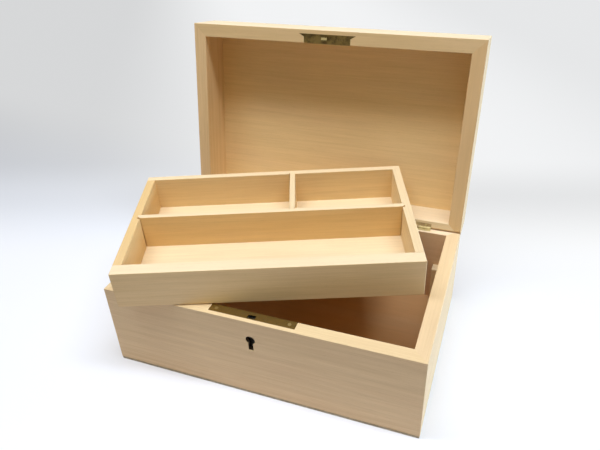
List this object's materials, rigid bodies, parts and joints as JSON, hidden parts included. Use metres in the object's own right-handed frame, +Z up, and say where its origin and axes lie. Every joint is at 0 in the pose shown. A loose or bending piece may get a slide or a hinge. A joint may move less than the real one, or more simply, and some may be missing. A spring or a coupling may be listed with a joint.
{
  "type": "sewing box",
  "caption": "Wooden sewing box with a mitred body, hinged lid standing open, brass lock and link plate, and a divided lift-out tray lying askew across the rim.",
  "frame": {"origin": "centre of the underside of the pad the box stands on", "axes": "+X to the right, +Y from the lock towards the hinges, +Z up"},
  "size_m": [0.3286, 0.2878, 0.2767],
  "materials": {
    "carcass_wood": "close-grained pale hardwood, sanded, thin clear oil",
    "lid_wood": "close-grained pale hardwood, sanded, thin clear oil",
    "tray_wood": "close-grained pale hardwood, sanded, thin clear oil",
    "brass": "aged satin",
    "steel": "satin",
    "baize": "woven felt"
  },
  "bodies": {
    "base": {"base_front": "carcass_wood", "base_back": "carcass_wood", "base_left": "carcass_wood", "base_right": "carcass_wood", "base_bottom": "carcass_wood", "base_post_front_left": "carcass_wood", "base_post_front_right": "carcass_wood", "base_post_back_left": "carcass_wood", "base_post_back_right": "carcass_wood", "base_pad": "baize", "lock_plate": "brass", "lock_cap": "steel", "lock_drill_pin": "steel", "lock_spring": "steel", "lock_plate_screws": "brass", "lock_case_screws": "steel", "hinge_base_screws": "brass", "hinge_left_base_leaf": "brass", "hinge_right_base_leaf": "brass", "hinge_left_pin": "brass", "hinge_right_pin": "brass"},
    "lid": {"lid_front": "lid_wood", "lid_back": "lid_wood", "lid_left": "lid_wood", "lid_right": "lid_wood", "lid_panel": "lid_wood", "link_plate": "brass", "lid_hook": "brass", "link_screws": "brass", "hinge_lid_screws": "brass", "hinge_left_lid_leaf": "brass", "hinge_right_lid_leaf": "brass"},
    "tray": {"tray_front": "tray_wood", "tray_back": "tray_wood", "tray_left": "tray_wood", "tray_right": "tray_wood", "tray_floor": "tray_wood", "tray_long_divider": "tray_wood", "tray_short_divider": "tray_wood"},
    "bolt": {"lock_bolt": "steel"}
  },
  "joints": [
    {"name": "lid_hinge", "type": "hinge", "parent": "base", "child": "lid", "pos_m": [0, 0.0925, 0.0896], "axis": [1, 0, 0], "range_deg": [0, 100]},
    {"name": "tray_lift", "type": "slide", "parent": "base", "child": "tray", "axis": [0, -0.9703, 0.2419], "range_m": [0, 0.36]},
    {"name": "bolt_slide", "type": "slide", "parent": "base", "child": "bolt", "axis": [-1, 0, 0], "range_m": [0, 0.0037]}
  ],
  "couplings": [
    {"joint": "tray_lift", "follows": "lid_hinge", "m_per_rad": 0.2062}
  ]
}
